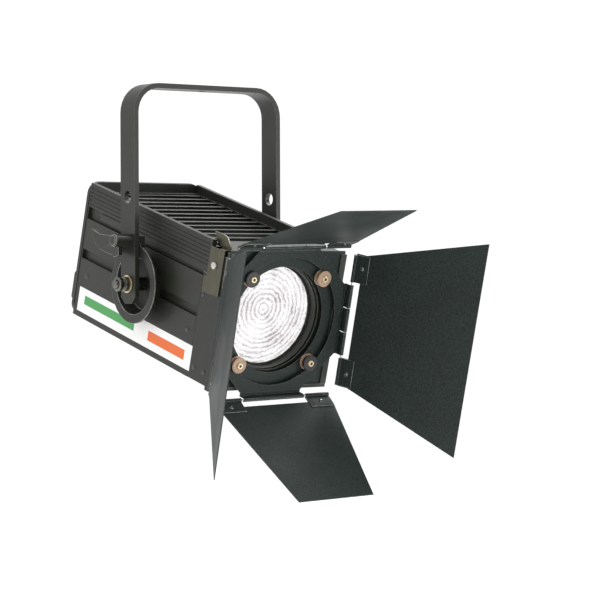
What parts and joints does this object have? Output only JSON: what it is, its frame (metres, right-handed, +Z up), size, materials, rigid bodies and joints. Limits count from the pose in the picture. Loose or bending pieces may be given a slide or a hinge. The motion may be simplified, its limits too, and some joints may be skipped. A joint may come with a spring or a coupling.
{
  "type": "theatre fresnel spotlight",
  "caption": "LED Fresnel stage spotlight hung by a stirrup yoke, with tilt lock, louvred housing, rear zoom knob and rotating four-leaf barndoor.",
  "frame": {"origin": "centre of the hanging bolt hole, on the yoke's top face", "axes": "+Z up, -Y the way the light looks, +X to the right seen from the front"},
  "size_m": [0.342, 0.5194, 0.4767],
  "materials": {
    "black_coat": "dark olive-charcoal powder coat, satin",
    "barndoor_black": "matt black fine-texture powder coat",
    "olive_zinc": "olive passivated steel, satin",
    "bright_steel": "zinc plated, satin",
    "brass": "turned, satin",
    "bronze_plastic": "bronze-brown moulded rollers, semi gloss",
    "black_plastic": "moulded, matt",
    "aluminium": "bare, satin",
    "lens_glass": "pressed glass, clear, concentric steps",
    "led": "phosphor under clear silicone",
    "grey_plastic": "moulded grey",
    "display": "dark display window"
  },
  "bodies": {
    "yoke": {"yoke": "black_coat", "tilt_clamp_jaw": "black_coat"},
    "tilt_lock": {"tilt_lock_lever": "black_coat"},
    "head": {"left_side_panel": "black_coat", "right_side_panel": "black_coat", "top_grille": "black_coat", "bottom_plate": "black_coat", "back_plate": "black_coat", "front_housing": "black_coat", "accessory_runner": "black_coat", "bulkhead": "black_coat", "lens_ring": "black_coat", "fresnel_lens": "lens_glass", "friction_disc_left": "black_coat", "friction_disc_right": "black_coat", "pivot_stud_left": "bright_steel", "pivot_stud_right": "bright_steel", "pivot_washer_left": "brass", "pivot_washer_right": "brass", "pivot_nut_left": "bright_steel", "pivot_nut_right": "bright_steel", "latch_screw": "bright_steel", "guide_rod_left": "bright_steel", "guide_rod_right": "bright_steel", "driver_box": "aluminium", "display_window": "display", "power_inlet": "black_plastic", "data_socket_in": "grey_plastic", "data_socket_out": "grey_plastic", "barndoor_base": "barndoor_black", "roller_pin_1": "brass", "roller_pin_2": "brass", "roller_pin_3": "brass", "roller_pin_4": "brass"},
    "top_latch": {"top_latch": "olive_zinc"},
    "barndoor_carrier": {"barndoor_carrier": "barndoor_black", "hinge_rod_top": "bright_steel", "hinge_rod_right": "bright_steel", "hinge_rod_bottom": "bright_steel", "hinge_rod_left": "bright_steel"},
    "leaf_top": {"leaf_top": "barndoor_black"},
    "leaf_right": {"leaf_right": "barndoor_black"},
    "leaf_bottom": {"leaf_bottom": "barndoor_black"},
    "leaf_left": {"leaf_left": "barndoor_black"},
    "roller_1": {"roller_1": "bronze_plastic"},
    "roller_2": {"roller_2": "black_plastic"},
    "roller_3": {"roller_3": "bronze_plastic"},
    "roller_4": {"roller_4": "black_plastic"},
    "light_engine": {"carriage_plate": "aluminium", "led_module": "led", "heat_sink": "aluminium", "fan_frame": "black_plastic"},
    "fan_rotor": {"fan_rotor": "black_plastic"},
    "zoom_screw": {"lead_screw": "bright_steel", "zoom_knob": "black_plastic"},
    "menu_button_1": {"menu_button_1": "grey_plastic"},
    "menu_button_2": {"menu_button_2": "grey_plastic"},
    "menu_button_3": {"menu_button_3": "grey_plastic"},
    "menu_button_4": {"menu_button_4": "grey_plastic"}
  },
  "joints": [
    {"name": "tilt", "type": "hinge", "parent": "yoke", "child": "head", "pos_m": [0, 0, -0.236], "axis": [1, 0, 0], "range_deg": [-55, 90]},
    {"name": "tilt_lock_turn", "type": "hinge", "parent": "yoke", "child": "tilt_lock", "pos_m": [-0.12, -0.006, -0.185], "axis": [1, 0, 0], "range_deg": [-45, 80]},
    {"name": "top_latch_swing", "type": "hinge", "parent": "head", "child": "top_latch", "pos_m": [0, -0.14264, -0.21474], "axis": [1, 0, 0], "range_deg": [-22, 0]},
    {"name": "barndoor_turn", "type": "hinge", "parent": "head", "child": "barndoor_carrier", "pos_m": [0, -0.15635, -0.27882], "axis": [0, 0.9628, 0.2701], "continuous": true},
    {"name": "leaf_top_swing", "type": "hinge", "parent": "barndoor_carrier", "child": "leaf_top", "pos_m": [-0.00204, -0.18835, -0.19435], "axis": [0.9997, -0.0061, 0.0218], "range_deg": [-60, 118]},
    {"name": "leaf_bottom_swing", "type": "hinge", "parent": "barndoor_carrier", "child": "leaf_bottom", "pos_m": [0.00204, -0.13975, -0.36761], "axis": [0.9997, -0.0061, 0.0218], "range_deg": [-116, 60]},
    {"name": "leaf_right_swing", "type": "hinge", "parent": "barndoor_carrier", "child": "leaf_right", "pos_m": [0.08998, -0.1646, -0.27902], "axis": [-0.0227, -0.27, 0.9626], "range_deg": [-80, 60]},
    {"name": "leaf_left_swing", "type": "hinge", "parent": "barndoor_carrier", "child": "leaf_left", "pos_m": [-0.08998, -0.1635, -0.28295], "axis": [-0.0227, -0.27, 0.9626], "range_deg": [-60, 80]},
    {"name": "zoom_slide", "type": "slide", "parent": "head", "child": "light_engine", "axis": [0, 0.9628, 0.2701], "range_m": [-0.03, 0.045]},
    {"name": "zoom_screw_turn", "type": "hinge", "parent": "head", "child": "zoom_screw", "pos_m": [0.054, 0.14676, -0.24676], "axis": [0, 0.9628, 0.2701], "range_deg": [-1360, 2040]},
    {"name": "fan_spin", "type": "hinge", "parent": "light_engine", "child": "fan_rotor", "pos_m": [0, 0.00012, -0.23493], "axis": [0, 0.9628, 0.2701], "continuous": true},
    {"name": "roller_1_spin", "type": "hinge", "parent": "head", "child": "roller_1", "pos_m": [0.05091, -0.1701, -0.2298], "axis": [0, 0.9628, 0.2701], "continuous": true},
    {"name": "roller_2_spin", "type": "hinge", "parent": "head", "child": "roller_2", "pos_m": [0.05091, -0.14259, -0.32784], "axis": [0, 0.9628, 0.2701], "continuous": true},
    {"name": "roller_3_spin", "type": "hinge", "parent": "head", "child": "roller_3", "pos_m": [-0.05091, -0.14259, -0.32784], "axis": [0, 0.9628, 0.2701], "continuous": true},
    {"name": "roller_4_spin", "type": "hinge", "parent": "head", "child": "roller_4", "pos_m": [-0.05091, -0.1701, -0.2298], "axis": [0, 0.9628, 0.2701], "continuous": true},
    {"name": "menu_button_1_press", "type": "slide", "parent": "head", "child": "menu_button_1", "axis": [0, -0.9628, -0.2701], "range_m": [0, 0.0012], "stiffness_N_per_m": 400},
    {"name": "menu_button_2_press", "type": "slide", "parent": "head", "child": "menu_button_2", "axis": [0, -0.9628, -0.2701], "range_m": [0, 0.0012], "stiffness_N_per_m": 400},
    {"name": "menu_button_3_press", "type": "slide", "parent": "head", "child": "menu_button_3", "axis": [0, -0.9628, -0.2701], "range_m": [0, 0.0012], "stiffness_N_per_m": 400},
    {"name": "menu_button_4_press", "type": "slide", "parent": "head", "child": "menu_button_4", "axis": [0, -0.9628, -0.2701], "range_m": [0, 0.0012], "stiffness_N_per_m": 400}
  ],
  "couplings": [
    {"joint": "roller_1_spin", "follows": "barndoor_turn", "ratio": 17.432},
    {"joint": "roller_2_spin", "follows": "barndoor_turn", "ratio": 17.432},
    {"joint": "roller_3_spin", "follows": "barndoor_turn", "ratio": 17.432},
    {"joint": "roller_4_spin", "follows": "barndoor_turn", "ratio": 17.432},
    {"joint": "zoom_screw_turn", "follows": "zoom_slide", "rad_per_m": 785.4}
  ]
}
